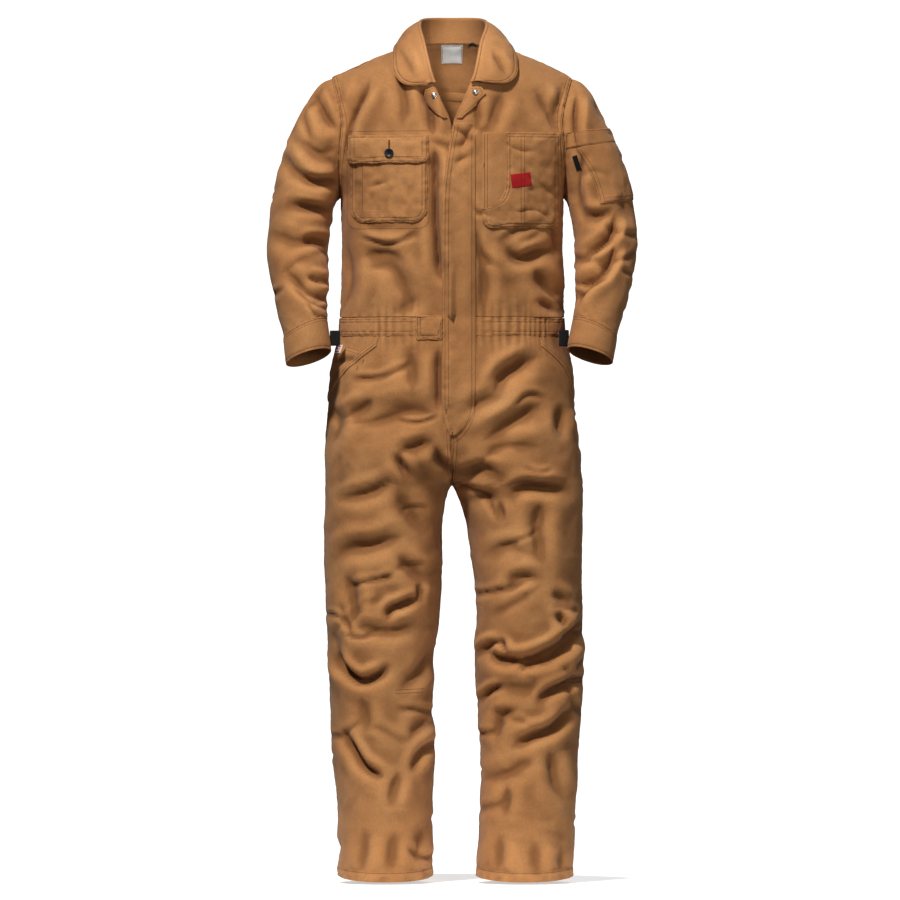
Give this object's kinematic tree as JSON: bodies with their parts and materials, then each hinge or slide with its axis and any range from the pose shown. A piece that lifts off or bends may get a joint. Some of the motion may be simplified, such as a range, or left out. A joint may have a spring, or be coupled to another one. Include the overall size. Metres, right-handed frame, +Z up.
{
  "type": "boiler suit",
  "caption": "One-piece work suit in brown cotton duck: open collar, covered front, chest pockets with one flap, gathered waist, long sleeves with cuffs and straight legs, worn shape, empty.",
  "frame": {"origin": "midway between the two neck points, where the wearer's shoulders carry the suit", "axes": "+Z is up, -Y is the front of the suit, +X is the wearer's left side"},
  "size_m": [0.6499, 0.2593, 1.5203],
  "materials": {
    "duck": "heavy plain-woven cotton duck, warm brown, matte, sewn with darker brown thread",
    "duck_shade": "the same duck on inner and recessed pieces",
    "thread": "dark brown sewing thread, in the visual model only",
    "black_trim": "black woven tape, matte",
    "label_red": "red woven label, bare",
    "label_white": "white woven label, bare",
    "button": "dark navy moulded button",
    "stud_metal": "plain press stud"
  },
  "bodies": {
    "root": {"front_right": "duck", "front_left": "duck", "back": "duck", "yoke": "duck", "collar": "duck", "sleeve_right": "duck", "cuff_right": "duck", "sleeve_left": "duck", "cuff_left": "duck", "leg_front_right": "duck", "leg_back_right": "duck", "leg_front_left": "duck", "leg_back_left": "duck", "waistband_front_right": "duck", "waistband_front_left": "duck", "waistband_back": "duck", "placket": "duck", "chest_pocket_right": "duck", "chest_flap_right": "duck", "waist_tab": "duck", "chest_pocket_left": "duck", "lapel_right": "duck", "lapel_left": "duck", "hip_pocket_edge_right": "duck", "hip_pocket_edge_left": "duck", "arm_pocket_left": "duck", "arm_pocket_band_left": "duck", "collar_stand": "duck_shade", "pen_pocket_left": "duck_shade", "cuff_tape_right": "black_trim", "cuff_tape_left": "black_trim", "armhole_label": "black_trim", "hanger_loop": "black_trim", "chest_label": "label_red", "hip_label": "label_white", "neck_label": "label_white", "flap_button": "button", "stud_right": "stud_metal", "stud_left": "stud_metal"}
  },
  "joints": []
}
